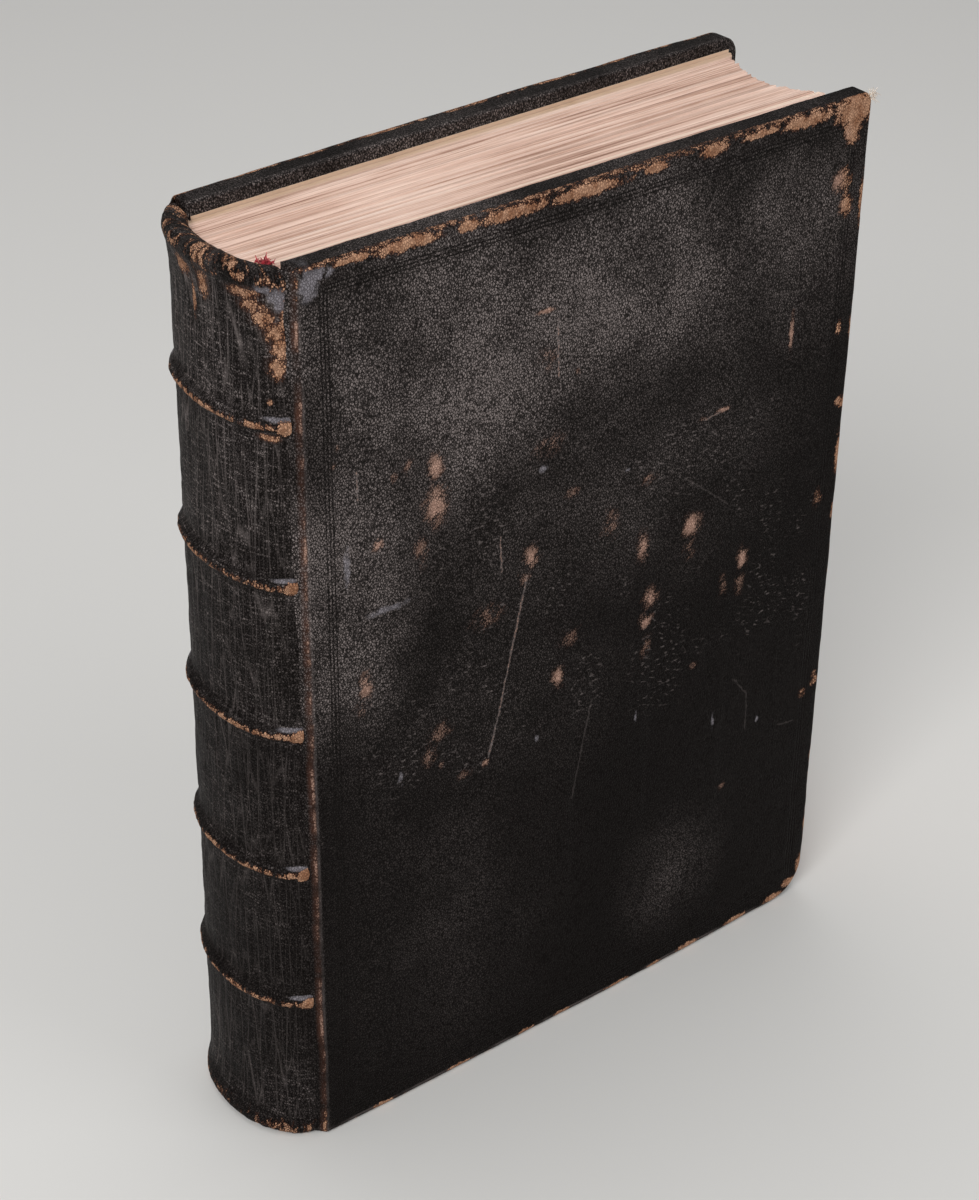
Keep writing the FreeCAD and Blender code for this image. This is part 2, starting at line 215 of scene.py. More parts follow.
class Wire:
    """An output of a node; arithmetic on it adds Math nodes."""

    def __init__(self, finish, output):
        self.finish = finish
        self.output = output

    def maths(self, operation, *others, clamp=False):
        settings = {"operation": operation, "use_clamp": clamp}
        return self.finish.node("Math", settings, dict(enumerate((self, *others))))

    def __add__(self, other):
        return self.maths("ADD", other)

    __radd__ = __add__

    def __sub__(self, other):
        return self.maths("SUBTRACT", other)

    def __rsub__(self, other):
        settings = {"operation": "SUBTRACT"}
        return self.finish.node("Math", settings, {0: other, 1: self})

    def __mul__(self, other):
        return self.maths("MULTIPLY", other)

    __rmul__ = __mul__

    def __truediv__(self, other):
        return self.maths("DIVIDE", other)

    def __abs__(self):
        return self.maths("ABSOLUTE")

    def least(self, other):
        return self.maths("MINIMUM", other)

    def most(self, other):
        return self.maths("MAXIMUM", other)

    def held(self):
        """The same value, kept between 0 and 1."""
        return self.maths("ADD", 0.0, clamp=True)

    def between(self, low, high):
        """0 at low, 1 at high and smooth in between; low may be the larger."""
        values = {"Value": self, "From Min": low, "From Max": high}
        return self.finish.node("MapRange", {"interpolation_type": "SMOOTHSTEP"}, values)


class Finish:
    """A material made of nodes."""

    def __init__(self, name):
        self.material = bpy.data.materials.new(name)
        self.material.use_nodes = True
        self.tree = self.material.node_tree
        self.shader = self.tree.nodes["Principled BSDF"]
        self.place = self.node("TexCoord", out="Object")

    def node(self, kind, settings=None, values=None, out=0):
        """Adds a node of a type, with its settings first and then its values or links."""
        made = self.tree.nodes.new("ShaderNode" + kind)
        for name, setting in (settings or {}).items():
            if name == "stops":
                made.color_ramp.elements.remove(made.color_ramp.elements[1])
                for number, (position, colour) in enumerate(setting):
                    stops = made.color_ramp.elements
                    stop = stops[0] if number == 0 else stops.new(position)
                    stop.position = position
                    stop.color = (*colour, 1)
            else:
                setattr(made, name, setting)
        for name, value in (values or {}).items():
            if isinstance(value, Wire):
                self.tree.links.new(value.output, made.inputs[name])
            else:
                made.inputs[name].default_value = value
        return Wire(self, made.outputs[out])

    def vector(self, operation, *values, out=0):
        return self.node("VectorMath", {"operation": operation}, dict(enumerate(values)), out)

    def split(self, wire):
        apart = self.node("SeparateXYZ", values={0: wire}).output.node
        return [Wire(self, output) for output in apart.outputs]

    def join(self, x, y, z):
        return self.node("CombineXYZ", values={0: x, 1: y, 2: z})

    def noise(self, place, size, detail=2.0, rough=0.5):
        """Cloudy values from 0 to 1, in lumps of about that size."""
        values = {"Vector": place, "Scale": 1 / size, "Detail": detail, "Roughness": rough}
        return self.node("TexNoise", values=values)

    def cells(self, place, size, dimensions="3D"):
        """Distance from the edge of the nearest cell, in cells; 2D reads x and y alone."""
        settings = {"voronoi_dimensions": dimensions, "feature": "DISTANCE_TO_EDGE"}
        return self.node("TexVoronoi", settings, {"Vector": place, "Scale": 1 / size})

    def mix(self, share, first, second):
        """Colour that goes from the first to the second as share goes from 0 to 1."""
        colours = [(*c, 1) if isinstance(c, tuple) else c for c in (first, second)]
        values = {0: share, 6: colours[0], 7: colours[1]}
        return self.node("Mix", {"data_type": "RGBA"}, values, out=2)

    def warped(self, place, size, amount):
        """The same place, pushed about by up to that amount."""
        values = {"Vector": place, "Scale": 1 / size, "Detail": 2.0}
        push = self.node("TexNoise", values=values, out="Color")
        centred = self.vector("SUBTRACT", push, (0.5, 0.5, 0.5))
        scaled = self.vector("MULTIPLY", centred, (2 * amount,) * 3)
        return self.vector("ADD", place, scaled)

    def wear(self, colour, roughness, height, specular=0.5):
        """Plugs the colour, the roughness and the relief, in metres, into the shader."""
        bump = self.node("Bump", values={"Height": height, "Distance": 1.0})
        for name, value in (("Base Color", colour), ("Roughness", roughness), ("Normal", bump)):
            if isinstance(value, Wire):
                self.tree.links.new(value.output, self.shader.inputs[name])
            else:
                self.shader.inputs[name].default_value = value
        self.shader.inputs["Specular IOR Level"].default_value = specular
        return self.material


# Goatskin

BLACK = (0.0027, 0.0017, 0.0013)
# grey of dust in the grain and of painted sheen where the leather would catch the light
DUST_AND_SHEEN = (0.215, 0.182, 0.174)
RUST = (0.060, 0.021, 0.012)
TAN = (0.30, 0.145, 0.080)
PALE_TAN = (0.52, 0.30, 0.19)
PINKISH = (0.27, 0.170, 0.130)
PALE_PINK = (0.56, 0.35, 0.27)
BROWN = (0.085, 0.036, 0.023)
# pale grey of painted sheen and highlights on shiny patches
PAINTED_SHEEN = (0.27, 0.25, 0.275)
GRAIN = 0.7 * MM
PEBBLE_HEIGHT = 0.11 * MM
LEATHER_SPECULAR = 0.05


def nearest_mark(finish, flat, marks):
    """Distance to the nearest of some oval marks, 1 at its rim.

    A mark is its middle in x and z and its half width and half height, in millimetres.
    """
    nearest = None
    for x, z, half_width, half_height in marks:
        shrink = (1 / (half_width * MM), 0, 1 / (half_height * MM))
        offset = (-x / half_width, 0, -z / half_height)
        apart = finish.vector("LENGTH", finish.vector("MULTIPLY_ADD", flat, shrink, offset), out=1)
        nearest = apart if nearest is None else nearest.least(apart)
    return nearest


def nearest_scratch(finish, flat, scratches):
    """Distance to the nearest of some straight scratches, in metres.

    A scratch runs from one point to another, each its x and z in millimetres.
    """
    nearest = None
    for (x1, z1), (x2, z2) in scratches:
        start = Vector((x1, 0, z1)) * MM
        run = Vector((x2 - x1, 0, z2 - z1)) * MM
        offset = finish.vector("SUBTRACT", flat, tuple(start))
        share = finish.vector("DOT_PRODUCT", offset, tuple(run / run.length_squared), out=1).held()
        on_line = finish.vector("MULTIPLY", finish.join(share, share, share), tuple(run))
        apart = finish.vector("LENGTH", finish.vector("SUBTRACT", offset, on_line), out=1)
        nearest = apart if nearest is None else nearest.least(apart)
    return nearest


def goatskin(name, describe):
    """Black grained goatskin; describe(finish, places) says what is special to a piece.

    It returns the dust in the grain and the painted sheen, the light of creases and flecks, the
    share that is rubbed to the suede, how pink the suede is, the brown stain and the painted
    sheen and glints of shiny patches, all from 0 to 1, and the depth of creases and ruled lines in
    metres.
    """
    finish = Finish(name)
    finish.place = finish.node("Attribute", {"attribute_name": REST_PLACE}, out="Vector")
    x, y, z = finish.split(finish.place)
    places = {"x": x - JOINT_X, "y": y - MIDDLE_Y, "z": z}
    turn = {"Vector": finish.place, "Rotation": (0, 0.5, 0), "Scale": (1, 1, 0.72)}
    slanted = finish.node("Mapping", values=turn)
    pebble = finish.cells(slanted, GRAIN).between(0.02, 0.24)
    pits = finish.noise(slanted, 0.5 * MM, 1)
    clumps = finish.noise(slanted, 4.2 * MM, 3, 0.65)
    blotches = finish.noise(finish.place, 26 * MM, 4, 0.6)
    skin = describe(finish, places)

    # dust in the grain together with painted sheen, lighter in cloudy patches
    dust_and_sheen = skin["dust_and_sheen"] * (0.35 + blotches.between(0.25, 0.75) * 1.3) * (0.65 + clumps * 0.7)
    # painted highlight on the tops of the pebble grain, with the valleys left dark
    grain_highlight = pebble * (0.08 + pits.between(0.30, 0.70) * 1.28)
    lit = (grain_highlight * (dust_and_sheen * 0.95 + 0.045) + dust_and_sheen * 0.04 + skin["creases"]).held()
    leather = finish.mix(lit, BLACK, DUST_AND_SHEEN)
    leather = finish.mix((skin["stain"] * (0.4 + clumps * 1.1)).held(), leather, BROWN)
    # painted sheen and highlights in pale grey, stronger on the tops of the grain
    shine = (skin["painted_sheen"] + (clumps - 0.5) * 0.9).between(0.25, 0.8)
    leather = finish.mix(shine * (0.35 + pebble * 0.45), leather, PAINTED_SHEEN)

    drawn = finish.vector("MULTIPLY", slanted, (0.42, 1, 1))
    fray = finish.noise(drawn, 2.0 * MM, 4, 0.74)
    score = skin["rubbed"] + (fray - 0.5) * 1.9 + (pebble - 0.5) * 0.28
    bare = score.between(0.46, 0.70) * skin["rubbed"].between(0.02, 0.2)
    bare = bare * (1 - skin["pink"] * (1 - skin["rubbed"]) * 0.9)
    stained = score.between(0.26, 0.52) * skin["rubbed"].between(0.02, 0.2)
    shade = fray * 0.5 + clumps * 0.5
    suede = finish.mix(shade.between(0.40, 0.58), TAN, PALE_TAN)
    core = (skin["rubbed"] + (fray - 0.5) * 0.8).between(0.50, 0.95)
    suede = finish.mix(skin["pink"], suede, finish.mix(core, PINKISH, PALE_PINK))
    suede = finish.mix((1 - pebble) * 0.55, suede, RUST)
    colour = finish.mix(stained * (0.8 - skin["pink"] * 0.6), leather, RUST)
    colour = finish.mix(bare, colour, suede)

    relief = pebble * PEBBLE_HEIGHT - skin["depth"]
    roughness = 0.58 - grain_highlight * 0.1 + bare * 0.3 - shine * 0.16
    return finish.wear(colour, roughness.held(), relief, specular=LEATHER_SPECULAR)


def lined(distance, width):
    """1 on a line and 0 beside it."""
    return abs(distance).between(width, width * 0.4)


# Covers, in millimetres from the joint line and from the tail

HEAD_EDGE_WEAR = [
    (18, 303.6, 6.4, 0.9), (35.5, 303.2, 10.2, 1.7), (55, 303.2, 3.6, 1.4),
    (70.4, 303, 11.2, 1.7), (96, 302.8, 13.3, 1.9), (121, 303.2, 3.9, 1.5),
    (143, 302.8, 5.4, 1.8), (162, 303.2, 7.5, 0.9), (180.6, 302.6, 10, 2.0),
    (201, 301.5, 8.5, 4.6),
]
EDGE_WEAR = [
    (200, 295.5, 3.2, 5), (206.8, 270, 1.2, 7), (207.2, 228, 0.9, 4), (206.9, 182, 1.4, 7.5),
    (207, 201, 0.8, 2.5), (206.8, 160, 0.9, 3), (207.4, 60, 0.9, 3), (207.3, 30, 1, 4),
    (206.3, 12, 1.6, 4), (202, 6, 4, 1.6), (152.5, 1.7, 4.2, 1.2), (176, 1.8, 5.6, 1.3),
    (194, 2.4, 4.6, 1.6), (120, 1.5, 6, 0.9), (80, 1.5, 3, 0.9), (52, 1.5, 5, 0.8),
    (22, 1.5, 4, 0.9), (96, 1.5, 4, 0.8), (137, 1.5, 3, 0.9),
]
RUBBED_MARKS = [
    (44, 220, 4.6, 7.5), (43.6, 232.5, 3.0, 5), (142.5, 178, 4.4, 4.8), (18.3, 168, 2.8, 5.6),
    (78.4, 190, 3.2, 4.6), (126.8, 157, 3.6, 3.8), (125.2, 148.6, 3.0, 3),
    (122.6, 177, 2.8, 5.4), (89.8, 142, 2.6, 4), (166.3, 157, 2.4, 5), (62, 121.4, 1.7, 1.7),
    (196.6, 279.6, 4.2, 4), (199.7, 271, 3, 4), (180.6, 233, 1.1, 7.5), (81.9, 270, 3.8, 1),
    (153.5, 215.4, 3.4, 0.9), (205, 201, 1.8, 2), (23.4, 214, 1.9, 2.6),
]
FAINT_MARKS = [
    (34, 236, 2, 3), (29, 234, 1.5, 1.8), (9.4, 244, 1.1, 1.2), (44.8, 140, 4.2, 4.4),
    (41, 133, 3, 4), (16.8, 160, 3, 3.2), (76, 184, 2.6, 3), (62, 175, 6, 4.4),
    (125.8, 139, 2.2, 5), (94, 155, 4.6, 3.4), (145, 214.5, 3.4, 1.2), (123.4, 201.5, 4, 2.4),
    (165.4, 148, 2.2, 5), (158, 149.5, 1.8, 5), (93.7, 206.5, 3.2, 2.4), (198.6, 168, 2, 3.6),
    (83.2, 255, 4, 4), (147, 122.6, 1.9, 1.4), (54.4, 120, 3, 2), (199.7, 89.6, 1.7, 2.2),
    (205, 94, 1.7, 3), (163.8, 66.5, 1.7, 1.5), (44.8, 128, 1.4, 1.4), (143, 169.5, 3, 4),
    (10.7, 249, 1.1, 1.1), (94.5, 247, 1.2, 1.2), (201.5, 228.6, 1.3, 2.4), (109, 190, 4, 6),
    (84, 226, 6, 4), (38, 207, 3, 6),
]
# patches of painted sheen and highlights on the front cover
PAINTED_SHEEN_MARKS = [
    (3.2, 299.5, 3.6, 6.4), (7.5, 302.4, 4.4, 2.2), (27, 191.4, 11, 1.7), (12.7, 210, 1.4, 9),
    (82.2, 218.7, 2, 1.6), (115, 207, 1.4, 1.0), (81.9, 122, 1.1, 2), (123, 113, 0.8, 3),
    (157.5, 96, 0.8, 4.4), (178.5, 88, 1, 1.6), (30, 129, 1.2, 4),
]
SCRATCHES = [
    ((77, 184), (67.8, 142)), ((67.8, 142), (63, 123)), ((66.8, 201), (67.2, 189)),
    ((86.5, 266), (87.2, 247)), ((146, 214), (155, 215.5)), ((16.7, 240), (16.9, 231)),
]
FAINT_SCRATCHES = [
    ((145, 290), (130, 262)), ((176, 292), (168, 270)), ((158, 180), (139, 196)),
    ((104, 128), (97, 92)), ((187, 268), (196, 269)), ((196, 269), (203, 269.4)),
    ((171, 248.6), (184, 246.6)), ((165.6, 110), (172.7, 101)), ((172.7, 101), (173, 86)),
    ((189, 81), (196, 79.5)),
]
# patches of dust with painted sheen, strongest at the upper left of the cover
DUST_AND_SHEEN_PATCHES = [
    (40, 262, 66, 56, 1.12), (108, 270, 62, 40, 1.05), (12, 205, 32, 66, 0.95),
    (100, 215, 92, 62, 0.27), (172, 268, 52, 46, 0.52), (142, 40, 24, 26, 0.24),
    (45, 70, 50, 70, 0.12), (60, 140, 60, 50, 0.16), (24, 184, 16, 9, 0.9),
]
RULE_INSETS = [6.4, 7.6, 8.8]
RULE_DEPTH = 0.10 * MM
ARRIS_DEPTH = 2.4


def ruled(edge_distance):
    """Three fine lines pressed beside an edge."""
    lines = None
    for inset in RULE_INSETS:
        line = lined(edge_distance - inset * MM, 0.36 * MM)
        lines = line if lines is None else lines.most(line)
    return lines


def joint_wear(finish, places, outside):
    """Rubbed line along a joint and the light line on the cover's edge beside it.

    outside is the depth below the cover's outer face.
    """
    along = finish.join(0.0, places["y"] * 0.2, places["z"])
    gaps = finish.noise(along, 9 * MM, 3, 0.6)
    drift = (finish.noise(along, 24 * MM, 2) - 0.5) * (1.4 * MM)
    across = places["x"] + drift
    near = outside.between(5 * MM, 3 * MM)
    stain = abs(across + 0.8 * MM).between(1.2 * MM, 0.1 * MM) * near * gaps.between(0.2, 0.8) * 0.8
    line = abs(across + 0.5 * MM).between(0.8 * MM, 0.1 * MM)
    line = line * (0.22 + gaps.between(0.38, 0.62) * 0.50) * near
    light = abs(across - 0.2 * MM).between(0.8 * MM, 0.1 * MM) * gaps.between(0.25, 0.65)
    light = light * outside.between(1.8 * MM, 1.0 * MM)
    return line, light, stain


def front_cover_skin(finish, places):
    x, z = places["x"], places["z"]
    outside = places["y"] + (MIDDLE_Y - FRONT_Y)
    flat = finish.join(x, 0.0, z)
    rough = finish.warped(flat, 2.2 * MM, 0.9 * MM)
    dust_and_sheen = None
    for u, v, half_width, half_height, strength in DUST_AND_SHEEN_PATCHES:
        patch = nearest_mark(finish, flat, [(u, v, half_width, half_height)])
        patch = patch.between(1.3, 0.1) * strength
        dust_and_sheen = patch if dust_and_sheen is None else dust_and_sheen.most(patch)
    marks = nearest_mark(finish, rough, RUBBED_MARKS).between(1.8, 0.1) * 0.84
    faint = nearest_mark(finish, rough, FAINT_MARKS).between(1.8, 0.1) * 0.56
    scratch = nearest_scratch(finish, rough, SCRATCHES).between(0.6 * MM, 0.05 * MM) * 0.62
    hairline = nearest_scratch(finish, rough, FAINT_SCRATCHES).between(0.5 * MM, 0.1 * MM)
    edges = nearest_mark(finish, rough, HEAD_EDGE_WEAR + EDGE_WEAR).between(1.75, 0.25)
    arris = (HEIGHT - z).least(z).least(WIDTH - x)
    thin = arris.between(1.9 * MM, 0.5 * MM) * 0.42
    edges = edges.most(thin) * outside.between(ARRIS_DEPTH * MM, ARRIS_DEPTH * MM - 0.9 * MM)
    line, light, stain = joint_wear(finish, places, outside)
    # lighter beside the joint and towards the head: painted sheen with some dust
    dust_and_sheen = dust_and_sheen.most(x.between(2.5 * MM, -0.5 * MM) * (0.10 + z / HEIGHT * z / HEIGHT * 0.5))
    # painted sheen on the shiny patches
    painted_sheen = nearest_mark(finish, rough, PAINTED_SHEEN_MARKS).between(1.5, 0.1)
    painted_sheen = painted_sheen * finish.noise(rough, 3.4 * MM, 3, 0.6).between(0.24, 0.50)
    rules = ruled(arris.least(x))
    middle = arris.between(7 * MM, 14 * MM)
    sparse = finish.noise(flat, 24 * MM, 2).between(0.46, 0.62) * middle
    sparse = sparse * z.between(0.095, 0.13) * z.between(0.25, 0.21)
    leaning = finish.join(x * 0.55 + z * 0.3, 0.0, z)
    flecks = finish.noise(leaning, 1.3 * MM, 3, 0.6).between(0.57, 0.67) * sparse
    rim = abs(z - 1.9 * MM).between(0.8 * MM, 0.1 * MM)
    rim = rim * finish.noise(flat, 12 * MM, 3).between(0.35, 0.6)
    creases = light * 0.22 + hairline * 0.14 + scratch * 0.9 + flecks * 0.4 + rim * 0.35
    rubbed = marks.most(faint).most(scratch).most(edges).most(line)
    return {
        "dust_and_sheen": dust_and_sheen * (1 - rules * 0.8),
        "creases": creases,
        "rubbed": rubbed,
        "pink": middle,
        "stain": stain,
        "painted_sheen": painted_sheen * (0.72 + z.between(0.285, 0.297) * 0.2),
        "depth": rules * RULE_DEPTH,
    }


def back_cover_skin(finish, places):
    x, z = places["x"], places["z"]
    outside = (BACK_Y - MIDDLE_Y) + x.most(0.0) * SPLAY - places["y"]
    flat = finish.join(x, 0.0, z)
    # dust with painted sheen, lighter higher up the cover
    upper = z.between(0.05, 0.26)
    dust_and_sheen = finish.noise(flat, 70 * MM, 2).between(0.20, 0.85) * (0.13 + upper * 0.32)
    arris = (HEIGHT - z).least(z).least(WIDTH - x)
    # the inside face of the cover, where a painted sheen lies
    inner = outside.between(5.5 * MM, 7.5 * MM)
    gaps = finish.noise(flat, 16 * MM, 2).between(0.42, 0.62)
    edges = arris.between(2.4 * MM, 0.4 * MM) * (gaps * 0.52 + 0.30)
    edges = edges * outside.between(ARRIS_DEPTH * MM, ARRIS_DEPTH * MM - 0.9 * MM)
    scuffs = finish.noise(finish.warped(flat, 5 * MM, 3 * MM), 14 * MM, 3, 0.6)
    scuffs = scuffs.between(0.62, 0.84) * 0.75 * outside.between(1.5 * MM, 0.5 * MM)
    line, light, stain = joint_wear(finish, places, outside)
    rules = ruled(arris.least(x)) * outside.between(1.5 * MM, 0.5 * MM)
    middle = arris.between(7 * MM, 14 * MM)
    return {
        "dust_and_sheen": dust_and_sheen.most(inner * 0.5),
        "creases": light * 0.22,
        "rubbed": edges.most(scuffs).most(line),
        "pink": middle * 0.9,
        "stain": stain,
        "painted_sheen": scuffs * 0.1,
        "depth": rules * RULE_DEPTH,
    }


# Spine, in millimetres round it from the middle, less than 0 on the front cover's side,
# and from the tail

AROUND = 22 * MM  # radius that turns the angle round the spine into a length
SPINE_MARKS = [
    (-17, 297, 5, 2), (-20, 293.5, 4, 2.4), (-23.5, 290.5, 4, 3), (-26.5, 287, 3.6, 3.6),
    (-28.5, 282, 3.4, 4), (-31, 288, 2.6, 8), (-27.5, 276.5, 3.4, 3.4), (-32, 276, 1.8, 9),
    (-23.4, 255.0, 3.6, 1.2), (-24.2, 266, 1, 0.9), (-33, 250, 1.2, 8), (6.5, 296.5, 3.6, 3),
    (-2.5, 294.5, 2.4, 4), (2.6, 288, 0.9, 5),
]
# patches of painted sheen on the spine
SPINE_PAINTED_SHEEN = [
    (-28.5, 296, 4.5, 4.5), (-23, 299, 4, 1.6), (-31, 290, 2, 4),
]


def spine_skin(finish, places):
    z = places["z"]
    around = places["y"].maths("ARCTAN2", places["x"] * -2.0) * AROUND
    flat = finish.join(around, 0.0, z)
    rough = finish.warped(flat, 2.5 * MM, 0.9 * MM)

    # Bands: dashes on the crest, an oval at each end and a glint above it
    above = (z - (BANDS[0] - BAND_PITCH / 2)).maths("FLOORED_MODULO", BAND_PITCH) - BAND_PITCH / 2
    lower_side = abs(above + 0.35 * MM)
    dashes = finish.noise(finish.join(around, 0.0, z * 0.3), 1.3 * MM, 2)
    stretches = finish.noise(flat, 11 * MM, 2)
    crest = lower_side.between(2.1 * MM, 0.3 * MM)
    broken = dashes.between(0.36, 0.60) * 0.44 + stretches.between(0.35, 0.62) * 0.40
    crest = crest * (broken + 0.12)
    outward = (abs(around) - 29.5 * MM) / (4.4 * MM)
    from_oval = finish.join(outward, 0.0, (above + 0.5 * MM) / (2.5 * MM))
    ovals = finish.vector("LENGTH", from_oval, out=1).between(1.35, 0.5) * 1.05
    glint = finish.join((abs(around) - 27 * MM) / (8 * MM), 0.0, (above - 2.1 * MM) / (1.1 * MM))
    glint = finish.vector("LENGTH", glint, out=1).between(1.2, 0.1)
    within = z.between(HEIGHT - 22 * MM, HEIGHT - 26 * MM) * z.between(22 * MM, 26 * MM)

    # Caps, rubbed in patches and in upright strokes
    from_end = (HEIGHT - z).least(z)
    hatch = finish.noise(finish.join(around, 0.0, z * 0.25), 1.2 * MM, 2)
    cap_gaps = finish.noise(flat, 7 * MM, 2, 0.6)
    cap = from_end.between(8.5 * MM, 2.0 * MM)
    cap = cap * (cap_gaps.between(0.42, 0.62) * 0.5 + hatch.between(0.42, 0.6) * 0.32)

    marks = nearest_mark(finish, rough, SPINE_MARKS).between(1.7, 0.1) * 0.8
    side = abs(around).between(30.5 * MM, 33.5 * MM) * stretches.between(0.3, 0.6) * 0.46
    rubbed = (crest * within).most(ovals * within).most(cap).most(marks).most(side)

    # Creases that run up the spine, and fine wrinkles across it
    upright = finish.warped(finish.join(around, z * 0.07, 0.0), 4 * MM, 1.2 * MM)
    creases = finish.cells(upright, 3.8 * MM, "2D").between(0.07, 0.0)
    fine = finish.cells(upright, 2.1 * MM, "2D").between(0.09, 0.0)
    across = finish.join(around * 0.16, 0.0, z)
    wrinkles = finish.noise(finish.warped(across, 8 * MM, 1 * MM), 0.9 * MM, 2).between(0.5, 0.66)
    middle = abs(around).between(33 * MM, 20 * MM)
    pull = (creases * (0.35 + middle * 0.65)).most(fine * (0.12 + middle * 0.5))
    # lighter towards the head and less so right at the caps: painted sheen together with dust
    lift = z / HEIGHT
    lift = 0.10 + lift * lift * 0.42 + lift.between(0.2, 0.05) * 0.12
    lift = lift * (0.4 + from_end.between(3 * MM, 12 * MM) * 0.6)
    valley = 0.25 + abs(above).between(1.6 * MM, 4.5 * MM) * 0.75
    light = pull * (lift * 0.95 + 0.04) * stretches.between(0.25, 0.65) * valley
    # painted sheen on patches and caps, and the painted glint above each band
    shine = nearest_mark(finish, rough, SPINE_PAINTED_SHEEN).between(1.5, 0.1)
    shine = (shine * cap_gaps.between(0.30, 0.55)).most(glint * within) * 0.92
    return {
        "dust_and_sheen": lift * (0.38 + wrinkles * 1.35),
        "creases": light,
        "rubbed": rubbed,
        "pink": 0.0,
        "stain": marks * 0.6,
        "painted_sheen": shine,
        "depth": creases * (0.12 * MM),
    }


# Paper, board, cord and silk

PAPER = (0.66, 0.47, 0.34)
FOXED_PAPER = (0.50, 0.31, 0.19)
# darkest stops: painted shade in the gaps between leaves, with the paper's own tone
LEAF_EDGE_STOPS = [
    (0.15, (0.22, 0.115, 0.076)), (0.36, (0.56, 0.365, 0.285)),
    (0.56, (0.72, 0.51, 0.42)), (0.9, (0.90, 0.73, 0.63)),
]
FLYLEAF = (0.84, 0.68, 0.56)
PAPER_FIBRE = (0.8, 0.7, 0.58)
BOARD_DARK = (0.28, 0.21, 0.15)
BOARD_PALE = (0.62, 0.52, 0.42)
# board colour used within a few millimetres of the joint
BOARD_NEAR_JOINT = (0.012, 0.009, 0.008)
HEMP_DARK = (0.20, 0.14, 0.08)
HEMP_PALE = (0.52, 0.42, 0.28)
SILK_DARK = (0.16, 0.010, 0.018)
SILK_RED = (0.62, 0.06, 0.08)
FIBRE_DARK = (0.55, 0.42, 0.32)
FIBRE_PALE = (0.86, 0.80, 0.72)


def leaf_edges():
    """Edges of the leaves, which fan out from the spine towards the fore-edge."""
    finish = Finish("leaf edges")
    x, y, z = finish.split(finish.place)
    from_front = y - (MIDDLE_Y - HALF_TEXT)
    share = from_front / ((x - JOINT_X).most(0.0) * SPLAY + 2 * HALF_TEXT)
    thickness = 2 * HALF_TEXT
    across = finish.join((x - JOINT_X) * 0.006, share * thickness, z * 0.006)
    leaves = finish.noise(across, 0.48 * MM, 2, 0.6).between(0.3, 0.7)
    gatherings = finish.noise(across, 2.6 * MM, 3, 0.6)
    tones = finish.noise(finish.place, 40 * MM, 3)
    along = finish.join((x - JOINT_X) * 0.05, share * thickness, z * 0.05)
    broken = finish.noise(along, 0.5 * MM, 2)
    # dark and light stripes across the leaves: partly the paper's own tone, partly painted shade
    # between leaves and gatherings
    light = 0.5 + (gatherings - 0.5) * 0.5 + (leaves - 0.5) * 0.42
    light = light + (broken - 0.5) * 0.25 + (tones - 0.5) * 0.35
    colour = finish.node("ValToRGB", {"stops": LEAF_EDGE_STOPS}, {"Fac": light})
    flyleaf = abs(share - 0.180).between(0.018, 0.010)
    colour = finish.mix(flyleaf * 0.8, colour, FLYLEAF)
    foxing = finish.noise(finish.place, 18 * MM, 4, 0.65).between(0.45, 0.8) * 0.6
    outer_leaf = share.between(0.008, 0.0).most(share.between(0.93, 0.97))
    colour = finish.mix(outer_leaf, colour, finish.mix(foxing, PAPER, FOXED_PAPER))
    relief = leaves * (0.10 * MM) + gatherings * (0.15 * MM)
    return finish.wear(colour, 0.9, relief, specular=0.2)


def endpaper():
    finish = Finish("endpaper")
    fibres = finish.noise(finish.place, 0.6 * MM, 3)
    foxing = finish.noise(finish.place, 18 * MM, 4, 0.65).between(0.45, 0.8) * 0.45
    colour = finish.mix(foxing, PAPER, FOXED_PAPER)
    colour = finish.mix(fibres * 0.15, colour, PAPER_FIBRE)
    return finish.wear(colour, 0.85, fibres * (0.03 * MM), specular=0.25)


def pasteboard():
    finish = Finish("pasteboard")
    x, y, z = finish.split(finish.place)
    layers = finish.noise(finish.join(x * 0.05, y, z * 0.05), 0.5 * MM, 2)
    fibres = finish.noise(finish.place, 0.8 * MM, 3, 0.7)
    colour = finish.mix(layers, BOARD_DARK, BOARD_PALE)
    # darker within a few millimetres of the joint
    near_joint = (x - JOINT_X).between(3.5 * MM, 1.5 * MM)
    colour = finish.mix(near_joint, colour, BOARD_NEAR_JOINT)
    return finish.wear(colour, 0.9, fibres * (0.12 * MM), specular=0.2)


def hemp():
    finish = Finish("hemp cord")
    x, y, z = finish.split(finish.place)
    strands = finish.noise(finish.join(x, y, z * 0.4 + y * 0.5), 0.7 * MM, 2)
    colour = finish.mix(strands, HEMP_DARK, HEMP_PALE)
    return finish.wear(colour, 0.9, strands * (0.3 * MM), specular=0.2)


def silk():
    finish = Finish("silk thread")
    shade = finish.noise(finish.place, 0.7 * MM, 3)
    colour = finish.mix(shade.between(0.3, 0.7), SILK_DARK, SILK_RED)
    return finish.wear(colour, 0.55, shade * (0.1 * MM), specular=0.4)


def pale_fibre():
    finish = Finish("pale fibre")
    shade = finish.noise(finish.place, 0.9 * MM, 2)
    colour = finish.mix(shade, FIBRE_DARK, FIBRE_PALE)
    return finish.wear(colour, 0.85, shade * (0.02 * MM), specular=0.3)


# Spine leather

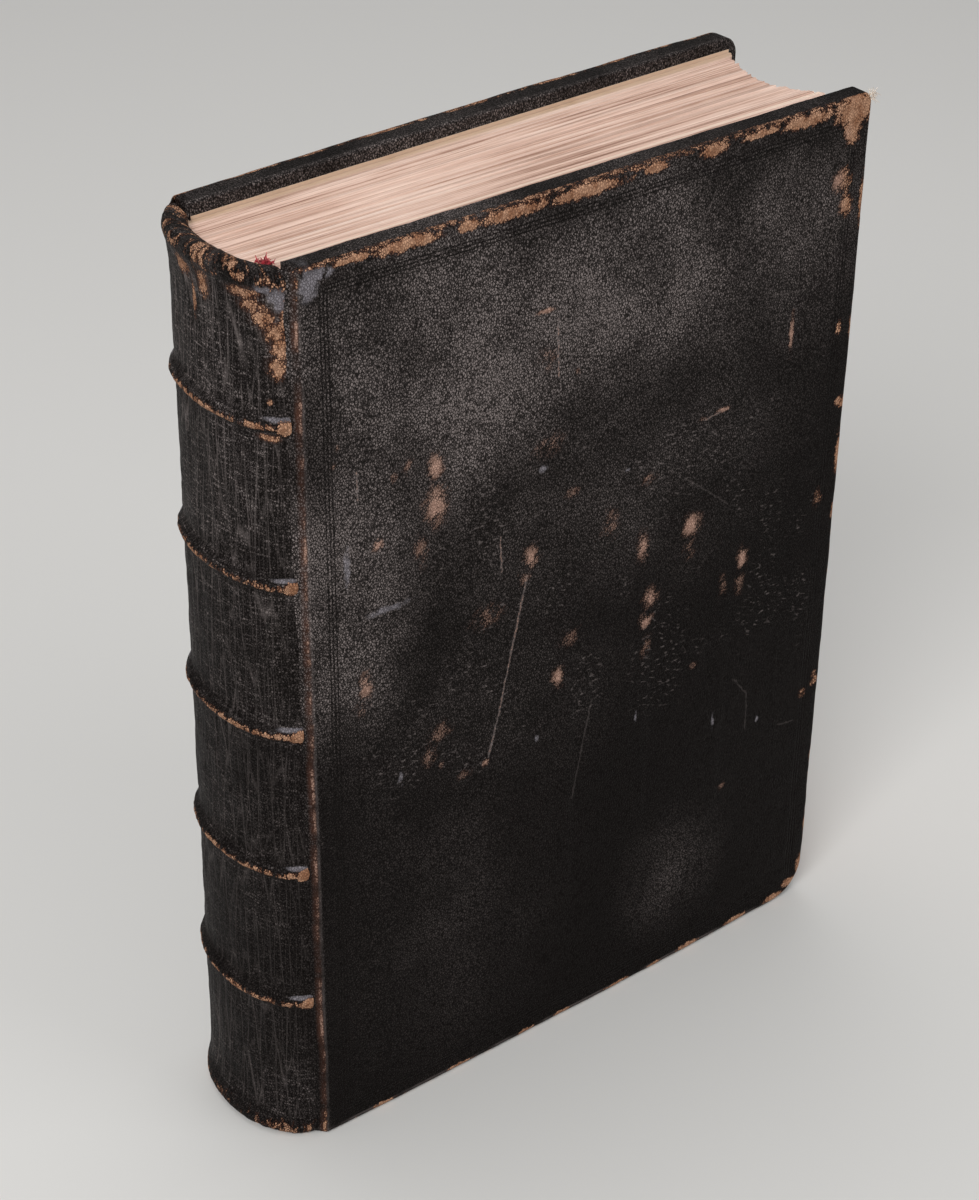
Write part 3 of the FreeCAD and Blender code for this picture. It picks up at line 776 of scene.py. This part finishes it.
PANEL_ROUND_TAIL = 16.2 * MM
PANEL_ROUND_HEAD = 11.2 * MM
PANEL_HALF = 28.3 * MM
BAND_RISE = 2.7 * MM
BAND_RISE_AT_JOINT = 0.9 * MM
BAND_HALF_LENGTH = 3.3 * MM
CAP_FLARE = 3.1 * MM
CAP_FLARE_LENGTH = 20 * MM
CAP_BULGE = 0.9 * MM
CAP_BULGE_LENGTH = 8 * MM
CAP_ROUND = 2.6 * MM
CAP_LIP_ROUND = 6.5 * MM
CAP_LIP_HALF = 19.5 * MM
JOINT_STRIP = 2.3 * MM
SPINE_LEATHER = 0.9 * MM
RING_STEP = 1.8 * MM
RING_STEP_AT_BAND = 0.75 * MM


def panel_round(height):
    return PANEL_ROUND_TAIL + (PANEL_ROUND_HEAD - PANEL_ROUND_TAIL) * height / HEIGHT


def spine_ring(height):
    """Round and half width of the spine's outside at a height."""
    near_band = min(abs(height - band) for band in BANDS) / BAND_HALF_LENGTH
    swell = math.cos(near_band * math.pi / 2) ** 1.5 if near_band < 1 else 0
    from_end = min(height, HEIGHT - height)
    flare = 0.0
    if from_end < CAP_FLARE_LENGTH:
        flare = CAP_FLARE * (1 - from_end / CAP_FLARE_LENGTH) ** 2.4
    if from_end < CAP_BULGE_LENGTH:
        flare += CAP_BULGE * math.sin(from_end / CAP_BULGE_LENGTH * math.pi) ** 2
    rounding = panel_round(height) + BAND_RISE * swell + flare
    half = PANEL_HALF + BAND_RISE_AT_JOINT * swell + flare * 0.16
    return rounding, half


def cap_roll(end, inward):
    """Rings over a cap's rim to its inner lip, from the outside in."""
    rounding, half = spine_ring(end + inward * CAP_ROUND)
    roll = [(1.3, 0.45), (0.45, 1.3), (0.05, 2.8), (0.35, 4.6)]
    rings = [
        (end + inward * down * MM, rounding - back * MM, half - back * MM)
        for down, back in roll
    ]
    lip = [(1.4, 0.9), (2.6, 0.2), (4.9, 0.0)]
    rings += [
        (end + inward * down * MM, CAP_LIP_ROUND + out * MM, CAP_LIP_HALF + out * MM)
        for down, out in lip
    ]
    return rings


def spine_rings():
    """Height, round and half width of each ring, from the tail cap's lip to the head cap's."""
    outside = []
    height = CAP_ROUND
    while height < HEIGHT - CAP_ROUND:
        outside.append((height, *spine_ring(height)))
        close = min(abs(height - band) for band in BANDS) < 4.5 * MM
        height += RING_STEP_AT_BAND if close else RING_STEP
    tail = cap_roll(0, 1)[::-1]
    head = cap_roll(HEIGHT, -1)
    inner_half = PANEL_HALF - SPINE_LEATHER
    inside = [
        (LEAVES_HEAD - 0.3 * MM, panel_round(LEAVES_HEAD) - SPINE_LEATHER, inner_half),
        (LEAVES_TAIL + 0.3 * MM, panel_round(LEAVES_TAIL) - SPINE_LEATHER, inner_half),
    ]
    return tail + outside + head + inside


def spine_leather():
    rings = spine_rings()
    height, rounding, half = rings[0]
    bpy.ops.object.select_all(action="DESELECT")
    bpy.ops.mesh.primitive_circle_add(
        vertices=96, radius=1, location=(JOINT_X, MIDDLE_Y, height), scale=(1, 1, 1)
    )
    piece = bpy.context.object
    piece.name = "spine_leather_skin"
    bpy.ops.object.transform_apply(location=True, rotation=True, scale=True)
    open_up(piece)
    choose_corners(piece, lambda place: place.x > JOINT_X + 1e-6)
    bpy.ops.mesh.delete(type="VERT")
    bpy.ops.mesh.select_all(action="SELECT")
    centre = Vector((JOINT_X, MIDDLE_Y, height))
    bpy.ops.transform.resize(value=(rounding, half, 1), center_override=centre)
    for new_height, new_rounding, new_half in rings[1:]:
        rise = new_height - height
        bpy.ops.mesh.extrude_region_move(TRANSFORM_OT_translate={"value": (0, 0, rise)})
        growth = (new_rounding / rounding, new_half / half, 1)
        centre = Vector((JOINT_X, MIDDLE_Y, new_height))
        bpy.ops.transform.resize(value=growth, center_override=centre)
        height, rounding, half = new_height, new_rounding, new_half
    first, last = rings[0], rings[-1]

    def on_end_ring(place):
        for z, a, b in (first, last):
            flat = ((place.x - JOINT_X) / a) ** 2 + ((place.y - MIDDLE_Y) / b) ** 2
            if abs(place.z - z) < 1e-6 and abs(flat - 1) < 1e-3:
                return True
        return False

    choose_corners(piece, on_end_ring)
    bpy.ops.mesh.bridge_edge_loops()
    bpy.ops.mesh.select_all(action="SELECT")
    bpy.ops.mesh.normals_make_consistent(inside=False)
    close_up()
    divide = piece.modifiers.new("divide", "SUBSURF")
    divide.levels = divide.render_levels = 1
    apply_modifiers(piece)
    open_up(piece)
    bpy.ops.mesh.bisect(
        plane_co=(JOINT_X - JOINT_STRIP, 0, 0), plane_no=(1, 0, 0), use_fill=True, clear_outer=True
    )
    bpy.ops.mesh.select_all(action="SELECT")
    bpy.ops.mesh.normals_make_consistent(inside=False)
    close_up()
    dent(piece, 0.22 * MM, 2.0 * MM, stretch=(1, 1, 14))
    dent(piece, 0.30 * MM, 9 * MM)
    smooth(piece, 50)
    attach(piece, "root")
    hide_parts("spine_leather")
    return piece


# Leather over a cover, with its strip over the joint; steps in millimetres, away from the
# board and into the joint

JOINT_PROFILE = [
    (-0.5, 0.26), (-0.6, 0.6), (-0.7, 0.8), (-0.7, 0.8), (-0.6, 0.65), (-0.6, 0.55),
]

COVER_SLICE = 2.6 * MM


def cover_leather(side, hinge, inward):
    """Leather of a cover; inward is +1 or -1 along Y, from its outside to the leaves."""
    node = side + "_cover_leather"
    piece = copy_of(node, node + "_skin")
    low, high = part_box(node)
    open_up(piece)
    slice_along(0, JOINT_X, high.x, COVER_SLICE)
    slice_along(2, low.z, high.z, COVER_SLICE)
    bisect_all((JOINT_X, hinge.y + inward * LEATHER, 0), (0, 1, 0))

    def hinge_end(centre, normal):
        depth = (centre.y - hinge.y) * inward
        return centre.x < JOINT_X + 0.4 * MM and normal.x < -0.9 and depth < LEATHER

    choose_faces(piece, hinge_end)
    for across, deeper in JOINT_PROFILE:
        step = (across * MM, inward * deeper * MM, 0)
        bpy.ops.mesh.extrude_region_move(TRANSFORM_OT_translate={"value": step})
    close_up()
    dent(piece, 0.28 * MM, 26 * MM)
    dent(piece, 0.12 * MM, 5 * MM)
    smooth(piece, 50)
    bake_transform(piece)
    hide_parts(node)
    return piece


HINGE_EDGE_THICK = 0.5 * MM
HINGE_EDGE_DEPTH = 7.2 * MM
HINGE_EDGE_START = 0.9 * MM


def hinge_edge(side, hinge, inward):
    """Leather turned over a board's edge at the joint, where head and tail show it."""
    low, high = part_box(side + "_cover_leather")
    near = hinge.y + inward * HINGE_EDGE_START
    far = near + inward * HINGE_EDGE_DEPTH
    bpy.ops.object.select_all(action="DESELECT")
    bpy.ops.mesh.primitive_cube_add(
        size=1,
        location=(JOINT_X + 0.12 * MM, (near + far) / 2, HEIGHT / 2),
        scale=(HINGE_EDGE_THICK, HINGE_EDGE_DEPTH, high.z - low.z - 0.3 * MM),
    )
    piece = bpy.context.object
    piece.name = side + "_hinge_edge"
    bpy.ops.object.transform_apply(location=True, rotation=True, scale=True)
    open_up(piece)
    bpy.ops.mesh.bevel(offset=0.2 * MM, segments=2)
    slice_along(2, low.z, high.z, 6 * MM)
    slice_along(1, near, far, 1.8 * MM)
    close_up()
    dent(piece, 0.12 * MM, 3 * MM)
    smooth(piece, 60)
    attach(piece, side + "_cover")
    return piece


CURL_STEPS = 9
CURL_STEP = 0.62 * MM
CURL_TURN = math.radians(27)


def curl(name, root, across, body):
    """Scrap of torn leather that curls up from a place."""
    bpy.ops.object.select_all(action="DESELECT")
    bpy.ops.mesh.primitive_cube_add(size=1, location=root, scale=(across, 1.0 * MM, 0.9 * MM))
    piece = bpy.context.object
    piece.name = name
    bpy.ops.object.transform_apply(location=True, rotation=True, scale=True)
    open_up(piece)
    choose_faces(piece, lambda centre, normal: normal.z > 0.9)
    ahead = Vector((0, -0.12, 1))
    for _ in range(CURL_STEPS):
        ahead.rotate(Matrix.Rotation(CURL_TURN, 3, "X"))
        step = tuple(ahead.normalized() * CURL_STEP)
        bpy.ops.mesh.extrude_region_move(TRANSFORM_OT_translate={"value": step})
        bpy.ops.transform.resize(value=(0.93, 0.93, 0.93))
    close_up()
    round_off = piece.modifiers.new("round off", "SUBSURF")
    round_off.levels = round_off.render_levels = 2
    apply_modifiers(piece)
    dent(piece, 0.25 * MM, 1.6 * MM)
    smooth(piece, 60)
    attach(piece, body)
    return piece


# Leaves

LEAF_LINES = 170
LEAF_STEP_UP = 0.0011  # shares of the height and the length
LEAF_STEP_OUT = 0.0012


def leaves():
    """Leaves, cut into fanned layers; each cut is moved a little, for small steps."""
    piece = copy_of("text_block", "leaves")
    draw = random.Random(7)
    middle = Vector((JOINT_X, MIDDLE_Y, (LEAVES_TAIL + LEAVES_HEAD) / 2))
    share = 0.0
    open_up(piece)
    while share < 1:
        share += draw.uniform(0.4, 1.6) / LEAF_LINES
        if share >= 0.996:
            break
        on_plane = (JOINT_X, MIDDLE_Y - HALF_TEXT + share * 2 * HALF_TEXT, 0)
        bisect_all(on_plane, (-share * SPLAY, 1, 0))
        height = 1 + draw.gauss(0, LEAF_STEP_UP)
        length = 1 + draw.gauss(0, LEAF_STEP_OUT)
        bpy.ops.transform.resize(value=(length, 1, height), center_override=middle)
    close_up()
    smooth(piece, 25)
    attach(piece, "root")
    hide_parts("text_block")
    return piece


# Inner joints, where the endpaper folds from the leaves to the cover; corners in
# millimetres from the joint line and out of the leaves' face

FOLD = [
    (7, 0.06), (0.7, 0.06), (0.35, 0.09), (0.2, 0.13), (0.2, 0.17), (0.35, 0.21), (0.7, 0.24),
    (7, 0.24),
]


def inner_joint(side, inward):
    face_y = MIDDLE_Y - inward * HALF_TEXT
    outward = -inward
    (x, y), rest = FOLD[0], FOLD[1:]
    bpy.ops.object.select_all(action="DESELECT")
    bpy.ops.mesh.primitive_plane_add(
        size=1,
        location=(JOINT_X + x * MM, face_y + outward * y * MM, HEIGHT / 2),
        rotation=(0, math.radians(90), 0),
    )
    piece = bpy.context.object
    piece.name = side + "_inner_joint"
    bpy.ops.transform.resize(value=(1, 0.0001, LEAVES_HEAD - LEAVES_TAIL))
    bpy.ops.object.transform_apply(location=True, rotation=True, scale=True)
    open_up(piece)
    bpy.ops.mesh.remove_doubles(threshold=0.2 * MM)
    bpy.ops.mesh.select_all(action="SELECT")
    for new_x, new_y in rest:
        step = ((new_x - x) * MM, outward * (new_y - y) * MM, 0)
        bpy.ops.mesh.extrude_region_move(TRANSFORM_OT_translate={"value": step})
        x, y = new_x, new_y
    close_up()
    paper = piece.modifiers.new("paper", "SOLIDIFY")
    paper.thickness = 0.03 * MM
    paper.offset = 0
    apply_modifiers(piece)
    smooth(piece, 60)
    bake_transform(piece)
    return piece


# Loose strands

SILK_STRANDS = 170
CORNER_STRANDS = 26
STRAND_SIDES = 5
STRAND_STEPS = 6


def tuft(name, roots, aim, spread, length, thickness, draw):
    """Fine bent strands that stand out from some places, all roughly the way of aim."""
    bpy.ops.object.select_all(action="DESELECT")
    bpy.ops.mesh.primitive_circle_add(
        vertices=STRAND_SIDES, radius=thickness / 2, fill_type="NGON"
    )
    strand = bpy.context.object
    open_up(strand)
    for number in range(STRAND_STEPS):
        bend = length * 0.05 * math.sin(number * 1.9)
        lean = (length * 0.035 * number, bend, length / STRAND_STEPS)
        bpy.ops.mesh.extrude_region_move(TRANSFORM_OT_translate={"value": lean})
        bpy.ops.transform.resize(value=(0.88, 0.88, 1))
    bpy.ops.mesh.select_all(action="SELECT")
    bpy.ops.mesh.normals_make_consistent(inside=False)
    close_up()
    copies = []
    for root in roots:
        copy = strand.copy()
        copy.data = strand.data.copy()
        bpy.context.scene.collection.objects.link(copy)
        copy.location = root
        way = Vector(aim) + spread * Vector([draw.uniform(-1, 1) for _ in range(3)])
        twist = Matrix.Rotation(draw.uniform(0, 6.28), 4, "Z")
        copy.rotation_euler = (way.to_track_quat("Z", "Y").to_matrix().to_4x4() @ twist).to_euler()
        copy.scale = (1, 1, draw.uniform(0.5, 1.1))
        copies.append(copy)
    bpy.data.objects.remove(strand)
    take(copies[0])
    for copy in copies:
        copy.select_set(True)
    bpy.ops.object.transform_apply(location=True, rotation=True, scale=True)
    bpy.ops.object.join()
    piece = bpy.context.object
    piece.name = name
    smooth(piece, 60)
    return piece


def silk_scrap():
    """What is left of the head endband: loose red silk."""
    draw = random.Random(11)
    low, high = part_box("head_endband")
    roots = []
    for _ in range(SILK_STRANDS):
        x = draw.uniform(low.x + 1.2 * MM, high.x - 1.2 * MM)
        y = draw.uniform(low.y + 0.9 * MM, high.y - 0.9 * MM)
        roots.append((x, y, low.z + draw.uniform(-0.2, 2.6) * MM))
    piece = tuft("head_endband_silk", roots, (-0.1, -0.1, 0.3), 1.0, 1.7 * MM, 0.5 * MM, draw)
    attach(piece, "root")
    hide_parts("head_endband")
    return piece


def corner_fibres():
    """Pale fibres of the board, which stand out at the front cover's worn head corner."""
    draw = random.Random(5)
    roots = []
    for _ in range(CORNER_STRANDS):
        x = JOINT_X + draw.uniform(205.8, 207.6) * MM
        y = FRONT_Y + draw.uniform(-1.0, 1.4) * MM
        roots.append((x, y, draw.uniform(303.2, 304.8) * MM))
    piece = tuft("corner_fibres", roots, (0.8, -0.3, 0.6), 0.8, 2.6 * MM, 0.3 * MM, draw)
    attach(piece, "front_cover")
    return piece


# Assembly

front_hinge, back_hinge = HINGES["front_cover"], HINGES["back_cover"]
finish_with(spine_leather(), goatskin("spine goatskin", spine_skin), "goatskin")
front_skin = goatskin("front goatskin", front_cover_skin)
back_skin = goatskin("back goatskin", back_cover_skin)
finish_with(cover_leather("front", front_hinge, 1), front_skin, "goatskin")
finish_with(cover_leather("back", back_hinge, -1), back_skin, "goatskin")
finish_with(hinge_edge("front", front_hinge, 1), front_skin, "goatskin")
finish_with(hinge_edge("back", back_hinge, -1), back_skin, "goatskin")
torn_place = Vector((JOINT_X + 1.4 * MM, BACK_Y - 3.2 * MM, HEIGHT - 2.2 * MM))
finish_with(curl("back_joint_curl", torn_place, 2.6 * MM, "back_cover"), back_skin, "goatskin")
finish_with(leaves(), leaf_edges(), "leaves")
paper = endpaper()
finish_with(inner_joint("front", 1), paper, "endpaper")
finish_with(inner_joint("back", -1), paper, "endpaper")
board = pasteboard()
cord = hemp()
thread = silk()
finish_with(silk_scrap(), thread, "silk")
finish_with(corner_fibres(), pale_fibre(), "pasteboard")
for name, node in frame["nodes"].items():
    for ending, material in (
        ("_pastedown", paper), ("_board", board), ("_endband", thread), ("_cord_", cord)
    ):
        if ending in name:
            finish_with(node, material, "")


# Floor, light and camera

FLOOR = (0.72, 0.71, 0.69)
BACKDROP = (0.60, 0.59, 0.575)
FLOOR_SIZE = 40


def floor():
    """Pale floor that fades into the backdrop where the camera sees it far off."""
    bpy.ops.object.select_all(action="DESELECT")
    bpy.ops.mesh.primitive_plane_add(size=FLOOR_SIZE, location=(0, 0, 0))
    ground = bpy.context.object
    ground.name = "floor"
    pale = Finish("pale floor")
    pale.shader.inputs["Base Color"].default_value = (*FLOOR, 1)
    pale.shader.inputs["Roughness"].default_value = 0.9
    pale.shader.inputs["Specular IOR Level"].default_value = 0.1
    far = pale.vector("LENGTH", pale.place, out=1).between(1.2, 3.5)
    seen = pale.node("LightPath", out="Is Camera Ray")
    glow = pale.node("Emission", values={"Color": (*BACKDROP, 1), "Strength": 1.0})
    diffuse = Wire(pale, pale.shader.outputs[0])
    both = pale.node("MixShader", values={0: far * seen, 1: diffuse, 2: glow})
    pale.tree.links.new(both.output, pale.tree.nodes["Material Output"].inputs["Surface"])
    ground.data.materials.append(pale.material)


def lamp(name, place, aim, size, watts):
    """Square lamp of a size and power, turned from its place to where it aims."""
    light = bpy.data.lights.new(name, "AREA")
    light.size = size
    light.energy = watts
    holder = bpy.data.objects.new(name, light)
    holder.location = place
    holder.rotation_euler = (Vector(aim) - Vector(place)).to_track_quat("-Z", "Y").to_euler()
    bpy.context.scene.collection.objects.link(holder)


def surroundings():
    """Plain soft light from all round, and a backdrop that only the camera sees."""
    world = bpy.data.worlds.new("surroundings")
    world.use_nodes = True
    tree = world.node_tree
    light = tree.nodes["Background"]
    light.inputs["Color"].default_value = (0.80, 0.80, 0.80, 1)
    light.inputs["Strength"].default_value = 0.45
    backdrop = tree.nodes.new("ShaderNodeBackground")
    backdrop.inputs["Color"].default_value = (*BACKDROP, 1)
    seen = tree.nodes.new("ShaderNodeLightPath")
    both = tree.nodes.new("ShaderNodeMixShader")
    tree.links.new(seen.outputs["Is Camera Ray"], both.inputs[0])
    tree.links.new(light.outputs[0], both.inputs[1])
    tree.links.new(backdrop.outputs[0], both.inputs[2])
    tree.links.new(both.outputs[0], tree.nodes["World Output"].inputs["Surface"])
    bpy.context.scene.world = world


CAMERA_PLACE = Vector((-0.4240, -0.53906, 0.5910))
CAMERA_YAW = math.radians(37.913)
CAMERA_PITCH = math.radians(32.703)
CAMERA_ROLL = math.radians(0.556)
FOCAL_PIXELS = 2563.4
PHOTO_HEIGHT = 1200


def camera():
    """Camera at the photograph's angle, for a frame of 979 by 1200."""
    level = math.cos(CAMERA_PITCH)
    forward = Vector(
        (math.sin(CAMERA_YAW) * level, math.cos(CAMERA_YAW) * level, -math.sin(CAMERA_PITCH))
    )
    flat_right = Vector((math.cos(CAMERA_YAW), -math.sin(CAMERA_YAW), 0))
    flat_up = flat_right.cross(forward)
    right = math.cos(CAMERA_ROLL) * flat_right + math.sin(CAMERA_ROLL) * flat_up
    up = -math.sin(CAMERA_ROLL) * flat_right + math.cos(CAMERA_ROLL) * flat_up
    lens = bpy.data.cameras.new("camera")
    lens.sensor_width = 36
    lens.lens = FOCAL_PIXELS / PHOTO_HEIGHT * lens.sensor_width
    lens.clip_start = 0.01
    holder = bpy.data.objects.new("camera", lens)
    turn = Matrix((right, up, -forward)).transposed().to_4x4()
    holder.matrix_world = Matrix.Translation(CAMERA_PLACE) @ turn
    bpy.context.scene.collection.objects.link(holder)
    bpy.context.scene.camera = holder


floor()
lamp("key", (-1.15, -0.75, 1.35), (0, 0, 0.15), 0.7, 17)
lamp("fill", (0.9, -1.5, 0.9), (0, 0, 0.15), 1.2, 8)
lamp("top", (0.1, 0.5, 1.9), (0, 0, 0.2), 1.2, 9)
surroundings()
camera()
bpy.context.scene.view_settings.view_transform = "Standard"
